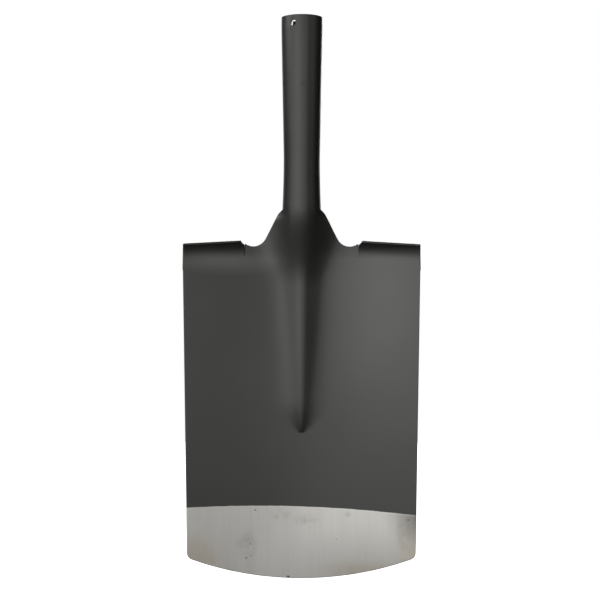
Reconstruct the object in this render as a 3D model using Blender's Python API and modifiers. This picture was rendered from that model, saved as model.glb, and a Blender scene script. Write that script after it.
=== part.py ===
"""Head of a square-mouth shovel: a pressed blade with a frog rib, a rolled socket and welded treads.

Metres, +Z up. The origin is the centre of the socket's mouth, +Z leaves along the handle, and the
dished front of the blade faces -Y. The blade has its own coordinates: u across, v down along the
blade from a line just above the treads' welds, and w forward, square to the blade.
"""

import math

import bmesh
import bpy
from mathutils import Matrix, Vector

# Sheet
SHEET = 0.0020
PLATE_SHEET = 0.0018
GAP = 0.0003

# Socket, as depths below the mouth and outer radii
MOUTH_RADIUS = 0.0200
MOUTH_COLLAR = 0.0120
WAIST_RADIUS = 0.0175
WAIST_DEPTH = 0.1340
NECK_RADIUS = 0.0186
NECK_DEPTH = 0.1838
RIM_CHAMFER = 0.0004

# Seam of the rolled tube, turned to the left of the rear, its weld stopping short of the mouth
SEAM_ANGLE = math.radians(31.0)
SEAM_WIDTH = 0.0024
SEAM_BEAD_RADIUS = 0.0009
SEAM_BEAD_START = 0.0140

# Nail hole in the front wall, to the left of the middle
NAIL_HOLE_RADIUS = 0.00275
NAIL_HOLE_DEPTH = 0.0079
NAIL_HOLE_ANGLE = math.radians(26.0)

# Weld round the neck
NECK_BEAD_HEIGHT = 0.0024
NECK_BEAD_PROUD = 0.0002

# How the blade is set on the socket
LIFT = math.radians(8.0)
TREAD_LINE_Z = -0.2320
SET_BACK = 0.0040

# Blade outline
TOP_HALF_WIDTH = 0.1138
CORNER_HALF_WIDTH = 0.1065
TIP_V = 0.3054
EDGE_RADIUS = 0.2960
CORNER_RADIUS = 0.0065

# Dish of the blade, and the shallow trough in which the rib stands
DISH_DEPTH = 0.0180
DISH_HALF_WIDTH = 0.1120
DISH_ROUNDING = 0.0685
TROUGH_DEPTH = 0.0025
TROUGH_HALF_WIDTH = 0.0900
TROUGH_END_V = 0.1390

# Frog: the rib's height, foot and form at its top and at its end, and its nose
RIB_HEIGHT = 0.0121
RIB_END_HEIGHT = 0.0032
RIB_FOOT = 0.0489
RIB_END_FOOT = 0.0359
RIB_ROUNDING = 0.39
RIB_END_ROUNDING = 0.05
RIB_POWER = 4.5
RIB_END_POWER = 4.0
RIB_END_V = 0.1685
RIB_NOSE = 0.0300
RIB_NOSE_FOOT = 0.14

# Neck of the blade: a half tube at the top whose flanks lie down as it runs into the rib
NECK_BLEND_TOP_V = -0.0440
NECK_BLEND_END_V = 0.0300
NECK_FLANK_TOP = math.radians(58.0)
NECK_FLANK_END = math.radians(44.0)
NECK_FLANK_LENGTH = 0.0120
NECK_FILLET = 0.0180

# Notch between neck and tread
NOTCH_U = 0.0470
NOTCH_V = -0.0246
NOTCH_RADIUS = 0.0134
WING_TOP_U = 0.0189
WING_TOP_V = -0.0456
WING_KNEE_U = 0.0228
WING_KNEE_V = -0.0416

# Treads
TREAD_INNER_U = 0.0548
TREAD_START_V = 0.0046
TREAD_SLOPE = math.radians(5.5)
TREAD_RISE = 0.0172
TREAD_DEPTH = 0.0076
TREAD_TURN = math.radians(86.0)
TREAD_NOTCH_RADIUS = 0.0145
TREAD_BEAD_RADIUS = 0.0009
TREAD_JOINT = TREAD_BEAD_RADIUS + GAP

# Back plate: a tongue that runs from the neck down the back of the blade
TONGUE_TOP_V = -0.0150
TONGUE_TOP_W = -0.0105
TONGUE_END_V = 0.0800
TONGUE_END_W = -0.0032
TONGUE_END_HALF_WIDTH = 0.0130
TONGUE_END_ROUNDING = 0.0150
PLATE_BLEND_TOP_V = -0.0420
PLATE_BLEND_LENGTH = 0.0400
PLATE_BEAD_RADIUS = 0.0012
PLATE_BEAD_TOP_V = -0.0340
PLATE_BEAD_END_V = 0.0600

# Fineness
ROUND_STEPS = 36
BLADE_BOX = 0.1300

ENAMEL = (0.060, 0.060, 0.056, 1.0)
WELD = (0.075, 0.075, 0.072, 1.0)


def clear_scene():
    for item in list(bpy.data.objects):
        bpy.data.objects.remove(item, do_unlink=True)


def new_collection(name):
    group = bpy.data.collections.new(name)
    bpy.context.scene.collection.children.link(group)
    return group


def enamel_material(name, colour, roughness):
    material = bpy.data.materials.new(name)
    material.use_nodes = True
    shader = material.node_tree.nodes["Principled BSDF"]
    shader.inputs["Base Color"].default_value = colour
    shader.inputs["Roughness"].default_value = roughness
    shader.inputs["Metallic"].default_value = 0.0
    return material


def smoothstep(t):
    t = min(max(t, 0.0), 1.0)
    return t * t * (3.0 - 2.0 * t)


def smooth_max(a, b, width):
    """The larger of the two, with a fillet where they meet."""
    near = max(0.0, 1.0 - abs(a - b) / width)
    return max(a, b) + near * near * width / 4.0


def steps(start, end, pitch):
    """Even places from start to end, at most pitch apart, without the end."""
    count = max(1, math.ceil(abs(end - start) / pitch - 1e-6))
    return [start + (end - start) * i / count for i in range(count)]


# Shape of the socket


def socket_radius(depth):
    """Outer radius of the tube at a depth below the mouth."""
    if depth <= MOUTH_COLLAR:
        return MOUTH_RADIUS
    if depth <= WAIST_DEPTH:
        share = (depth - MOUTH_COLLAR) / (WAIST_DEPTH - MOUTH_COLLAR)
        return MOUTH_RADIUS + (WAIST_RADIUS - MOUTH_RADIUS) * share
    share = (depth - WAIST_DEPTH) / (NECK_DEPTH - WAIST_DEPTH)
    return WAIST_RADIUS + (NECK_RADIUS - WAIST_RADIUS) * share * share


# Shape of the blade


def blade_point(u, v, w):
    """World place of a point given in the blade's own coordinates."""
    y = SET_BACK - v * math.sin(LIFT) - w * math.cos(LIFT)
    z = TREAD_LINE_Z - v * math.cos(LIFT) + w * math.sin(LIFT)
    return Vector((u, y, z))


def blade_matrix():
    """Turns (u, -v, w) into the world."""
    across = Vector((1.0, 0.0, 0.0))
    up = Vector((0.0, math.sin(LIFT), math.cos(LIFT)))
    forward = Vector((0.0, -math.cos(LIFT), math.sin(LIFT)))
    turn = Matrix((across, up, forward)).transposed().to_4x4()
    return Matrix.Translation(blade_point(0.0, 0.0, 0.0)) @ turn


def dish(u):
    reach = math.hypot(DISH_HALF_WIDTH, DISH_ROUNDING) - DISH_ROUNDING
    return DISH_DEPTH * (math.hypot(u, DISH_ROUNDING) - DISH_ROUNDING) / reach


def trough(u, v):
    """Depth that the pressing sinks the blade's middle on both sides of the rib."""
    across = max(0.0, 1.0 - (u / TROUGH_HALF_WIDTH) ** 2)
    along = max(0.0, 1.0 - (max(v, 0.0) / TROUGH_END_V) ** 2)
    return TROUGH_DEPTH * (across * along) ** 2


def tube_axis_w(v):
    """Where the socket's axis runs above the blade's plane."""
    return SET_BACK / math.cos(LIFT) - v * math.tan(LIFT)


def rib(u, v):
    """The rib's height above the dish: round on its crest, hollow towards its foot."""
    down = min(max(v / RIB_END_V, 0.0), 1.0)
    into_nose = min(max((v - (RIB_END_V - RIB_NOSE)) / RIB_NOSE, 0.0), 1.0)
    fullness = math.sqrt(1.0 - into_nose * into_nose)
    foot = RIB_FOOT + (RIB_END_FOOT - RIB_FOOT) * down
    foot *= RIB_NOSE_FOOT + (1.0 - RIB_NOSE_FOOT) * fullness ** 2
    t = abs(u) / foot
    if t >= 1.0:
        return 0.0
    height = (RIB_HEIGHT + (RIB_END_HEIGHT - RIB_HEIGHT) * min(v / RIB_END_V, 1.0)) * fullness
    rounding = RIB_ROUNDING + (RIB_END_ROUNDING - RIB_ROUNDING) * down
    whole = math.hypot(1.0, rounding) - rounding
    share = (math.hypot(t, rounding) - rounding) / whole
    return height * (1.0 - share) ** (RIB_POWER + (RIB_END_POWER - RIB_POWER) * down)


def neck_height(u, v):
    """w of the half tube, its flanks straight below the flank angle."""
    lying = smoothstep((v - WING_TOP_V) / NECK_FLANK_LENGTH)
    flank = NECK_FLANK_TOP + (NECK_FLANK_END - NECK_FLANK_TOP) * lying
    reach = NECK_RADIUS * math.sin(flank)
    if abs(u) < reach:
        rise = math.sqrt(NECK_RADIUS ** 2 - u * u)
    else:
        rise = NECK_RADIUS * math.cos(flank) - (abs(u) - reach) * math.tan(flank)
    return tube_axis_w(v) + rise / math.cos(LIFT)


def blade_height(u, v):
    """w of the blade's front face."""
    height = dish(u) - trough(u, v) + rib(u, v)
    share = 1.0 - smoothstep((v - NECK_BLEND_TOP_V) / (NECK_BLEND_END_V - NECK_BLEND_TOP_V))
    if share > 0.0:
        height += share * (smooth_max(neck_height(u, v), height, NECK_FILLET) - height)
    return height


def blade_columns():
    """Places across the blade: round the neck in even angles, then ever wider."""
    turns = 8
    half = [NECK_RADIUS * math.sin(NECK_FLANK_TOP * i / turns) for i in range(turns + 1)]
    pitch = 0.0013
    place = half[-1] + pitch
    while place < BLADE_BOX:
        half.append(place)
        pitch *= 1.45
        place += pitch
    half.append(BLADE_BOX)
    return [-u for u in reversed(half[1:])] + half


def blade_rows():
    """Places down the blade: close at the neck and the nose, wide below."""
    flank_end_v = WING_TOP_V + NECK_FLANK_LENGTH
    rows = steps(WING_TOP_V - 0.010, flank_end_v, 0.003)
    rows += steps(flank_end_v, NECK_BLEND_END_V, 0.005)
    rows += steps(NECK_BLEND_END_V, RIB_END_V - RIB_NOSE, 0.010)
    rows += steps(RIB_END_V - RIB_NOSE, RIB_END_V - RIB_NOSE / 4, 0.006)
    rows += steps(RIB_END_V - RIB_NOSE / 4, RIB_END_V, 0.0025)
    rows += steps(RIB_END_V, TIP_V + 0.010, 0.024)
    return rows + [TIP_V + 0.010]


def surface_mesh(name, columns, rows, place):
    """A grid whose vertices lie where place(column, row) says."""
    mesh = bpy.data.meshes.new(name)
    grid = bmesh.new()
    across, down = len(columns) - 1, len(rows) - 1
    bmesh.ops.create_grid(grid, x_segments=across, y_segments=down, size=1.0)
    for vertex in grid.verts:
        i = round((vertex.co.x + 1.0) / 2.0 * across)
        j = round((1.0 - vertex.co.y) / 2.0 * down)
        vertex.co = place(columns[i], rows[j])
    grid.to_mesh(mesh)
    grid.free()
    return mesh


def add_object(name, mesh, group, material=None):
    item = bpy.data.objects.new(name, mesh)
    group.objects.link(item)
    if material:
        mesh.materials.append(material)
    return item


def hide_cutter(item):
    item.hide_render = True
    item.display_type = "WIRE"
    return item


def thicken(item, thickness):
    """Gives a surface its wall, on the side away from its normals."""
    wall = item.modifiers.new("wall", "SOLIDIFY")
    wall.thickness = thickness
    wall.offset = -1.0
    wall.use_even_offset = True
    return wall


def cut(item, cutter, operation="DIFFERENCE"):
    boolean = item.modifiers.new(operation.lower(), "BOOLEAN")
    boolean.operation = operation
    boolean.object = cutter
    boolean.solver = "EXACT"
    return boolean


def box_cutter(name, low, high, group):
    mesh = bpy.data.meshes.new(name)
    box = bmesh.new()
    bmesh.ops.create_cube(box, size=1.0)
    size = Vector(high) - Vector(low)
    bmesh.ops.scale(box, vec=size, verts=box.verts)
    bmesh.ops.translate(box, vec=(Vector(low) + Vector(high)) / 2, verts=box.verts)
    box.to_mesh(mesh)
    box.free()
    return hide_cutter(add_object(name, mesh, group))


def prism_cutter(name, outline, half_depth, group):
    """An outline in (u, -v), extruded both ways square to the blade, as a closed mesh."""
    curve = bpy.data.curves.new(name, "CURVE")
    curve.dimensions = "2D"
    curve.fill_mode = "BOTH"
    curve.extrude = half_depth
    spline = curve.splines.new("POLY")
    spline.points.add(len(outline) - 1)
    for point, (u, v) in zip(spline.points, outline):
        point.co = (u, -v, 0.0, 1.0)
    spline.use_cyclic_u = True
    source = bpy.data.objects.new(name + "_curve", curve)
    group.objects.link(source)
    source.matrix_world = blade_matrix()
    bpy.context.view_layer.update()
    evaluated = source.evaluated_get(bpy.context.evaluated_depsgraph_get())
    mesh = bpy.data.meshes.new_from_object(evaluated)
    prism = add_object(name, mesh, group)
    prism.matrix_world = source.matrix_world
    bpy.data.objects.remove(source, do_unlink=True)
    welded = bmesh.new()
    welded.from_mesh(mesh)
    bmesh.ops.remove_doubles(welded, verts=welded.verts, dist=0.00001)
    bmesh.ops.recalc_face_normals(welded, faces=welded.faces)
    welded.to_mesh(mesh)
    welded.free()
    return hide_cutter(prism)


def arc(centre, radius, start, end, count):
    """Points on an arc from one angle to another, both included."""
    angles = [start + (end - start) * i / count for i in range(count + 1)]
    return [(centre[0] + radius * math.cos(a), centre[1] + radius * math.sin(a)) for a in angles]


# Outline of the blade


def tread_line(u):
    """v of the weld between shoulder and tread."""
    return TREAD_START_V + (abs(u) - TREAD_INNER_U) * math.tan(TREAD_SLOPE)


def shoulder_height(u):
    """w of the blade's front face along that weld."""
    return blade_height(u, tread_line(u))


def wing_edge():
    """From the socket's side down the wing and round the notch to the tread's inner end."""
    centre = Vector((NOTCH_U, NOTCH_V))
    knee = Vector((WING_KNEE_U, WING_KNEE_V))
    away = knee - centre
    turn = math.acos(NOTCH_RADIUS / away.length)
    start = math.atan2(away.y, away.x) - turn
    while start < 0.0:
        start += 2.0 * math.pi
    end = math.acos((TREAD_INNER_U - NOTCH_U) / NOTCH_RADIUS)
    wing = [(WING_TOP_U, WING_TOP_V - 0.020), (WING_TOP_U, WING_TOP_V), tuple(knee)]
    return wing + arc(centre, NOTCH_RADIUS, start, end, 8)


def lower_edge():
    """Down the side, round the corner and along the cutting edge to the middle."""
    centre_v = TIP_V - EDGE_RADIUS
    corner_v = centre_v + math.sqrt(EDGE_RADIUS ** 2 - CORNER_HALF_WIDTH ** 2)
    side = Vector((TOP_HALF_WIDTH - CORNER_HALF_WIDTH, -corner_v)).normalized()
    round_u = CORNER_HALF_WIDTH - CORNER_RADIUS
    inner = EDGE_RADIUS - CORNER_RADIUS
    round_v = centre_v + math.sqrt(inner ** 2 - round_u ** 2)
    first = math.atan2(-side.x, -side.y)
    last = math.atan2(round_v - centre_v, round_u)
    points = [(TOP_HALF_WIDTH, tread_line(TOP_HALF_WIDTH) + TREAD_JOINT)]
    points += arc((round_u, round_v), CORNER_RADIUS, first, last, 4)
    points += arc((0.0, centre_v), EDGE_RADIUS, last, math.pi / 2, 14)[1:]
    return points


def blade_outline():
    right = wing_edge() + [(TREAD_INNER_U, TREAD_START_V + TREAD_JOINT)] + lower_edge()
    left = [(-u, v) for u, v in reversed(right[:-1])]
    return right + left


def build_blade(group, cutters, material, neck_box):
    mesh = surface_mesh(
        "blade",
        blade_columns(),
        blade_rows(),
        lambda u, v: blade_point(u, v, blade_height(u, v)),
    )
    blade = add_object("blade", mesh, group, material)
    thicken(blade, SHEET)
    outline = prism_cutter("blade_outline", blade_outline(), 0.080, cutters)
    cut(blade, outline, "INTERSECT")
    cut(blade, neck_box)
    return blade


def build_socket(group, cutters, material):
    end = NECK_DEPTH - NECK_BEAD_HEIGHT / 2 - GAP
    depths = [RIM_CHAMFER, *steps(MOUTH_COLLAR, WAIST_DEPTH, 0.031), *steps(WAIST_DEPTH, end, 0.009), end]
    outer = [(MOUTH_RADIUS - RIM_CHAMFER, 0.0)]
    outer += [(socket_radius(d), -d) for d in depths]
    inner = [(socket_radius(d) - SHEET, -d) for d in reversed(depths)]
    inner += [(MOUTH_RADIUS - SHEET + RIM_CHAMFER, 0.0)]
    mesh = bpy.data.meshes.new("socket")
    profile = bmesh.new()
    ring = [profile.verts.new((x, 0.0, z)) for x, z in outer + inner]
    for first, second in zip(ring, ring[1:] + ring[:1]):
        profile.edges.new((first, second))
    profile.to_mesh(mesh)
    profile.free()
    socket = add_object("socket", mesh, group, material)
    turn = socket.modifiers.new("turn", "SCREW")
    turn.steps = ROUND_STEPS
    turn.render_steps = ROUND_STEPS
    turn.use_merge_vertices = True
    turn.merge_threshold = 0.00001
    slit = box_cutter(
        "seam_slit",
        (-SEAM_WIDTH / 2, 0.008, -NECK_DEPTH - 0.010),
        (SEAM_WIDTH / 2, 0.030, 0.010),
        cutters,
    )
    slit.rotation_euler.z = SEAM_ANGLE
    cut(socket, slit)
    cut(socket, nail_hole_cutter(cutters))
    return socket


def nail_hole_cutter(group):
    mesh = bpy.data.meshes.new("nail_hole")
    hole = bmesh.new()
    bmesh.ops.create_cone(
        hole,
        cap_ends=True,
        segments=24,
        radius1=NAIL_HOLE_RADIUS,
        radius2=NAIL_HOLE_RADIUS,
        depth=0.016,
    )
    hole.to_mesh(mesh)
    hole.free()
    cutter = hide_cutter(add_object("nail_hole", mesh, group))
    sideways = Matrix.Rotation(-NAIL_HOLE_ANGLE, 4, "Z") @ Matrix.Rotation(math.pi / 2, 4, "X")
    out = Vector((-math.sin(NAIL_HOLE_ANGLE), -math.cos(NAIL_HOLE_ANGLE), 0.0)) * 0.018
    cutter.matrix_world = Matrix.Translation(out + Vector((0.0, 0.0, -NAIL_HOLE_DEPTH))) @ sideways
    return cutter


def build_bead(name, points, radius, group, material):
    """A weld bead: a round bar along the joint."""
    curve = bpy.data.curves.new(name, "CURVE")
    curve.dimensions = "3D"
    curve.bevel_depth = radius
    curve.bevel_resolution = 2
    curve.use_fill_caps = True
    spline = curve.splines.new("POLY")
    spline.points.add(len(points) - 1)
    for point, place in zip(spline.points, points):
        point.co = (*place, 1.0)
    curve.materials.append(material)
    bead = bpy.data.objects.new(name, curve)
    group.objects.link(bead)
    return bead


def build_seam_weld(group, material):
    last = NECK_DEPTH - NECK_BEAD_HEIGHT / 2 - 2 * GAP
    points = []
    for depth in [*steps(SEAM_BEAD_START, WAIST_DEPTH, 0.040), *steps(WAIST_DEPTH, last, 0.009), last]:
        reach = socket_radius(depth) - SHEET / 2 + NECK_BEAD_PROUD
        points.append((-reach * math.sin(SEAM_ANGLE), reach * math.cos(SEAM_ANGLE), -depth))
    return build_bead("socket_seam_weld", points, SEAM_BEAD_RADIUS, group, material)


def build_neck_weld(group, material):
    half = NECK_BEAD_HEIGHT / 2
    mesh = bpy.data.meshes.new("neck_weld")
    profile = bmesh.new()
    corners = [
        (NECK_RADIUS, half),
        (NECK_RADIUS + NECK_BEAD_PROUD, half / 2),
        (NECK_RADIUS + NECK_BEAD_PROUD, -half / 2),
        (NECK_RADIUS, -half),
        (NECK_RADIUS - SHEET, -half),
        (NECK_RADIUS - SHEET, half),
    ]
    ring = [profile.verts.new((x, 0.0, z - NECK_DEPTH)) for x, z in corners]
    for first, second in zip(ring, ring[1:] + ring[:1]):
        profile.edges.new((first, second))
    profile.to_mesh(mesh)
    profile.free()
    weld = add_object("neck_weld", mesh, group, material)
    turn = weld.modifiers.new("turn", "SCREW")
    turn.steps = ROUND_STEPS
    turn.render_steps = ROUND_STEPS
    turn.use_merge_vertices = True
    turn.merge_threshold = 0.00001
    return weld


# Treads


def tread_section():
    """(up, forward) places of the tread's front face, which curls ever more towards its lip."""
    turns = [TREAD_TURN * i / 10 for i in range(11)]
    return [(TREAD_RISE * math.sin(a), TREAD_DEPTH * (1.0 - math.cos(a))) for a in turns]


def build_tread(side, name, group, cutters, material):
    """A strip along one shoulder, turned forward, its inner end cut by the notch."""
    section = tread_section()
    columns = [TREAD_INNER_U + GAP, *steps(0.0600, TOP_HALF_WIDTH, 0.009), TOP_HALF_WIDTH]

    def place(u, row):
        up, forward = section[row]
        foot_v = tread_line(u) - TREAD_JOINT
        return blade_point(side * u, foot_v - up, shoulder_height(u) + forward)

    ordered = columns if side > 0 else list(reversed(columns))
    rows = list(range(len(section) - 1, -1, -1))
    mesh = surface_mesh(name, ordered, rows, place)
    tread = add_object(name, mesh, group, material)
    thicken(tread, SHEET)
    notch = arc((side * NOTCH_U, NOTCH_V), TREAD_NOTCH_RADIUS, 0.0, 2.0 * math.pi, 40)[:-1]
    cut(tread, prism_cutter(name + "_notch", notch, 0.080, cutters))
    return tread


def build_tread_weld(side, name, group, material):
    outer = TOP_HALF_WIDTH - GAP
    columns = [*steps(TREAD_INNER_U + 2 * GAP, outer, 0.010), outer]
    points = [blade_point(side * u, tread_line(u), shoulder_height(u) - SHEET / 2) for u in columns]
    return build_bead(name, points, TREAD_BEAD_RADIUS, group, material)


# Back plate


def plate_half_width(v):
    return NECK_RADIUS + (TONGUE_END_HALF_WIDTH - NECK_RADIUS) * smoothstep((v + 0.030) / 0.110)


def blade_back(u, v):
    """w of the blade's rear face."""
    slope = (blade_height(u + 0.0002, v) - blade_height(u - 0.0002, v)) / 0.0004
    return blade_height(u, v) - SHEET * math.hypot(1.0, slope)


def plate_point(angle, v):
    """(u, w) on the plate's outer face; the angle is measured from straight back."""
    axis = tube_axis_w(v)
    round_depth = NECK_RADIUS / math.cos(LIFT)
    share = smoothstep((v - PLATE_BLEND_TOP_V) / PLATE_BLEND_LENGTH)
    slope = (TONGUE_END_W - TONGUE_TOP_W) / (TONGUE_END_V - TONGUE_TOP_V)
    tongue = TONGUE_TOP_W + slope * (v - TONGUE_TOP_V)
    half = plate_half_width(v)
    rim = blade_back(half, v)
    centre = axis + (rim - axis) * share
    depth = round_depth + (rim - tongue - round_depth) * share
    return half * math.sin(angle), centre - depth * math.cos(angle)


def build_back_plate(group, cutters, material, neck_box):
    """Half round at the neck and flatter below, its edges trimmed along the blade's rear face."""
    turns = 12
    places = [("side", -1.0)]
    places += [("round", math.pi * (i / turns - 0.5)) for i in range(turns + 1)]
    places += [("side", 1.0)]
    rows = [*steps(WING_TOP_V - 0.010, 0.020, 0.005), *steps(0.020, TONGUE_END_V + 0.006, 0.014)]
    rows += [TONGUE_END_V + 0.006]

    def place(column, v):
        kind, value = column
        if kind == "round":
            return blade_point(plate_point(value, v)[0], v, plate_point(value, v)[1])
        u, w = plate_point(value * math.pi / 2, v)
        return blade_point(u, v, w + 0.005)

    mesh = surface_mesh("back_plate", list(reversed(places)), rows, place)
    plate = add_object("back_plate", mesh, group, material)
    thicken(plate, PLATE_SHEET)
    cut(plate, blade_block(cutters))
    end_u = TONGUE_END_HALF_WIDTH + 0.012
    start_v = WING_TOP_V - 0.020
    round_v = TONGUE_END_V - TONGUE_END_ROUNDING
    end = [(end_u, start_v)]
    for i in range(13):
        angle = math.pi * i / 12
        end.append((end_u * math.cos(angle), round_v + TONGUE_END_ROUNDING * math.sin(angle)))
    end.append((-end_u, start_v))
    cut(plate, prism_cutter("plate_end", end, 0.080, cutters), "INTERSECT")
    cut(plate, neck_box)
    return plate


def blade_block(group):
    """All that lies ahead of the blade's rear face, with the gap that the plate keeps to it."""
    mesh = surface_mesh(
        "blade_block",
        blade_columns(),
        blade_rows(),
        lambda u, v: blade_point(u, v, blade_height(u, v)),
    )
    block = bmesh.new()
    block.from_mesh(mesh)
    block.normal_update()
    moves = [vertex.normal * -(SHEET + GAP) * vertex.calc_shell_factor() for vertex in block.verts]
    for vertex, move in zip(block.verts, moves):
        vertex.co += move
    forward = blade_matrix().to_3x3() @ Vector((0.0, 0.0, 0.080))
    added = bmesh.ops.extrude_face_region(block, geom=block.faces[:])["geom"]
    fresh = [item for item in added if isinstance(item, bmesh.types.BMVert)]
    bmesh.ops.translate(block, vec=forward, verts=fresh)
    bmesh.ops.recalc_face_normals(block, faces=block.faces)
    block.to_mesh(mesh)
    block.free()
    return hide_cutter(add_object("blade_block", mesh, group))


def plate_corner(v):
    """Where the plate's outer face reaches the blade's rear face, and the way along the plate."""
    angle = math.pi / 2
    u, w = plate_point(angle, v)
    while w > blade_back(u, v) and angle > 0.2:
        angle -= 0.01
        u, w = plate_point(angle, v)
    behind = Vector(plate_point(angle - 0.02, v)) - Vector((u, w))
    return Vector((u, blade_back(u, v))), behind.normalized()


def build_plate_weld(side, name, group, material):
    """A fillet weld in the corner between the plate and the blade's rear face."""
    reach = PLATE_BEAD_RADIUS + GAP
    points = []
    for v in [*steps(PLATE_BEAD_TOP_V, PLATE_BEAD_END_V, 0.008), PLATE_BEAD_END_V]:
        corner, along_plate = plate_corner(v)
        beyond = corner.x + 0.003
        along_blade = Vector((beyond, blade_back(beyond, v))) - corner
        between = (along_plate + along_blade.normalized()).normalized()
        half_angle = along_plate.angle(between)
        centre = corner + between * (reach / math.sin(half_angle))
        points.append(blade_point(side * centre.x, v, centre.y))
    return build_bead(name, points, PLATE_BEAD_RADIUS, group, material)


def main():
    clear_scene()
    parts = new_collection("shovel_head")
    cutters = new_collection("cutters")
    enamel = enamel_material("black_enamel", ENAMEL, 0.42)
    weld = enamel_material("weld_under_enamel", WELD, 0.50)
    top = -NECK_DEPTH - NECK_BEAD_HEIGHT / 2 - GAP
    neck_box = box_cutter("above_neck", (-0.060, -0.080, top), (0.060, 0.080, top + 0.120), cutters)
    build_blade(parts, cutters, enamel, neck_box)
    build_socket(parts, cutters, enamel)
    build_seam_weld(parts, weld)
    build_neck_weld(parts, weld)
    build_back_plate(parts, cutters, enamel, neck_box)
    for side, word in ((-1.0, "left"), (1.0, "right")):
        build_tread(side, word + "_tread", parts, cutters, enamel)
        build_tread_weld(side, word + "_tread_weld", parts, weld)
        build_plate_weld(side, "back_plate_weld_" + word, parts, weld)


main()
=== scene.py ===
"""Looks of the shovel head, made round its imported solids.

Metres. +Z runs up the socket and the dished front of the blade faces -Y. Every pressed or rolled
piece starts as a flat blank with its thickness and its eased edges, and is then formed, as in the
press. The blade has its own coordinates: u across, v down the blade from a line just above the
treads' welds, and w forward, square to the blade.
"""

import math

import bpy
from mathutils import Matrix, Vector


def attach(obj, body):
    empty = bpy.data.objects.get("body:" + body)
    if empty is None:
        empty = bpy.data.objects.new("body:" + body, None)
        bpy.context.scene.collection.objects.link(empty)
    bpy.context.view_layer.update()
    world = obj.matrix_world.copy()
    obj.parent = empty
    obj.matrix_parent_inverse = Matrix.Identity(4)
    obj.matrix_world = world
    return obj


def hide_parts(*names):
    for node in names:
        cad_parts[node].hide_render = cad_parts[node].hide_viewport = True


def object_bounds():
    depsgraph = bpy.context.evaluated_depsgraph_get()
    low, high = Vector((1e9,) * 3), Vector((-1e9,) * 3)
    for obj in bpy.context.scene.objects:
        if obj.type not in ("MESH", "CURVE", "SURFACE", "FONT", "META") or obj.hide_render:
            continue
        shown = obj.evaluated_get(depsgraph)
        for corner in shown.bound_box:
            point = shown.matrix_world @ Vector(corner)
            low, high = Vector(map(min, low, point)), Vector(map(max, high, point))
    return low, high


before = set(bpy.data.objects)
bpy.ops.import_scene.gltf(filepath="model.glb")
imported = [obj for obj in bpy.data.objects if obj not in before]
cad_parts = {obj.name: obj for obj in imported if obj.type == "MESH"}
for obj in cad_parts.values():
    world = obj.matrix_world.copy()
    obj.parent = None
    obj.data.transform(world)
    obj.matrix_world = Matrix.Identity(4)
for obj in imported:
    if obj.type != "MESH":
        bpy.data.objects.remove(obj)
solid_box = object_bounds()

# Sheet and gaps, as in the solids
SHEET = 0.0020
PLATE_SHEET = 0.0018
GAP = 0.0003
EASED_EDGE = 0.0005
HAIRLINE = 0.0001

# Meshes: angles from which an edge is eased and from which it stays sharp in the shading, the
# distance within which corners merge, and the step over which a surface's slope is taken
EASED_ANGLE = math.radians(50.0)
SHARP_ANGLE = math.radians(40.0)
MERGE_DISTANCE = 0.000004
FORM_STEP = 0.00015

# Rounds that close in on the joint below the socket, and on the notch at a tread's inner end
JOINT_ROUNDS = 6
NOTCH_ROUNDS = 3

# Socket
MOUTH_RADIUS = 0.0200
MOUTH_COLLAR = 0.0120
WAIST_RADIUS = 0.0175
WAIST_DEPTH = 0.1340
NECK_RADIUS = 0.0186
NECK_DEPTH = 0.1838
NECK_BEAD_HEIGHT = 0.0024
SOCKET_END = NECK_DEPTH - NECK_BEAD_HEIGHT / 2 - GAP
SEAM_ANGLE = math.radians(31.0)
SEAM_WIDTH = 0.0024
SEAM_BEAD_START = 0.0140
SEAM_BEAD_RADIUS = 0.00115
SEAM_BEAD_PROUD = 0.0002
SEAM_RIPPLE = 0.0020
NAIL_HOLE_RADIUS = 0.00275
NAIL_HOLE_DEPTH = 0.0079
NAIL_HOLE_ANGLE = math.radians(26.0)
DRILL_REACH = 0.0180
DRILL_LENGTH = 0.0160

# Drip left in the socket's enamel: its place round and down the front, its height and its reach
NIB_PLACE = (-0.0006, -0.0660)
NIB_HEIGHT = 0.00055
NIB_REACH = (0.0014, 0.0011)

# Set of the blade on the socket
LIFT = math.radians(8.0)
TREAD_LINE_Z = -0.2320
SET_BACK = 0.0040
BLADE_TOP_Z = -NECK_DEPTH - NECK_BEAD_HEIGHT / 2 - GAP

# Blade
TOP_HALF_WIDTH = 0.1138
CORNER_HALF_WIDTH = 0.1065
TIP_V = 0.3054
EDGE_RADIUS = 0.2960
CORNER_RADIUS = 0.0065
DISH_DEPTH = 0.0180
DISH_HALF_WIDTH = 0.1120
DISH_ROUNDING = 0.0685
TROUGH_DEPTH = 0.0025
TROUGH_HALF_WIDTH = 0.0900
TROUGH_END_V = 0.1390

# Frog: the rib's height, foot and form at its top and at its end, and its nose
RIB_HEIGHT = 0.0121
RIB_END_HEIGHT = 0.0032
RIB_FOOT = 0.0489
RIB_END_FOOT = 0.0359
RIB_ROUNDING = 0.39
RIB_END_ROUNDING = 0.05
RIB_POWER = 4.5
RIB_END_POWER = 4.0
RIB_END_V = 0.1685
RIB_NOSE = 0.0300
RIB_NOSE_FOOT = 0.14

# Neck of the blade
NECK_BLEND_TOP_V = -0.0440
NECK_BLEND_END_V = 0.0300
NECK_FLANK_TOP = math.radians(58.0)
NECK_FLANK_END = math.radians(44.0)
NECK_FLANK_LENGTH = 0.0120
NECK_FILLET = 0.0180

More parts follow.
